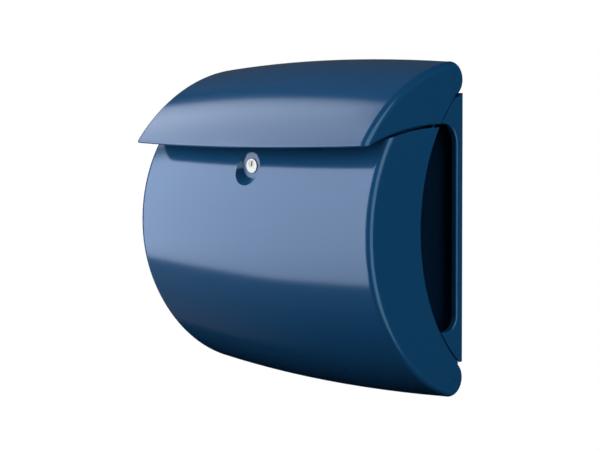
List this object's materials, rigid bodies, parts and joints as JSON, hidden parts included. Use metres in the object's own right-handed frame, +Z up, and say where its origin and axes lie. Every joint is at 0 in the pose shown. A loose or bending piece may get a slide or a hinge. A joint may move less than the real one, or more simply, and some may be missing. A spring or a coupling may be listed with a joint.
{
  "type": "wall mounted post box",
  "caption": "Moulded plastic post box for a wall: lift-up lid over a letter slot, drop-down front door with a cam lock, newspaper compartment open at the sides.",
  "frame": {"origin": "centre of the four wall fixing holes, on the wall plane", "axes": "+Y into the wall, -Y the way the door looks, +Z up, +X to the right side of the picture"},
  "size_m": [0.385, 0.2011, 0.4127],
  "materials": {
    "blue_plastic": "smooth semi-gloss moulded plastic, deep petrol blue",
    "plated_zinc": "die-cast zinc, bright nickel-chrome plate",
    "zinc_plated_steel": "pressed steel, clear zinc plate"
  },
  "bodies": {
    "case": {"housing": "blue_plastic", "inner_wall": "blue_plastic", "slot_frame": "blue_plastic", "frame_screws": "zinc_plated_steel"},
    "lid_body": {"lid": "blue_plastic", "lid_pin_left": "blue_plastic", "lid_pin_right": "blue_plastic"},
    "door_body": {"front_door": "blue_plastic", "door_pin_left": "blue_plastic", "door_pin_right": "blue_plastic", "lock_barrel": "plated_zinc", "lock_clip": "zinc_plated_steel"},
    "lock_core": {"lock_plug": "plated_zinc", "lock_cam": "zinc_plated_steel", "cam_screw": "zinc_plated_steel"}
  },
  "joints": [
    {"name": "lid_hinge", "type": "hinge", "parent": "case", "child": "lid_body", "pos_m": [0, -0.0223, 0.176], "axis": [-1, 0, 0], "range_deg": [0, 55]},
    {"name": "door_hinge", "type": "hinge", "parent": "case", "child": "door_body", "pos_m": [0, -0.0223, -0.18], "axis": [1, 0, 0], "range_deg": [0, 65]},
    {"name": "lock_turn", "type": "hinge", "parent": "door_body", "child": "lock_core", "pos_m": [0, -0.158, 0.0758], "axis": [0, 1, 0], "range_deg": [0, 90]}
  ]
}
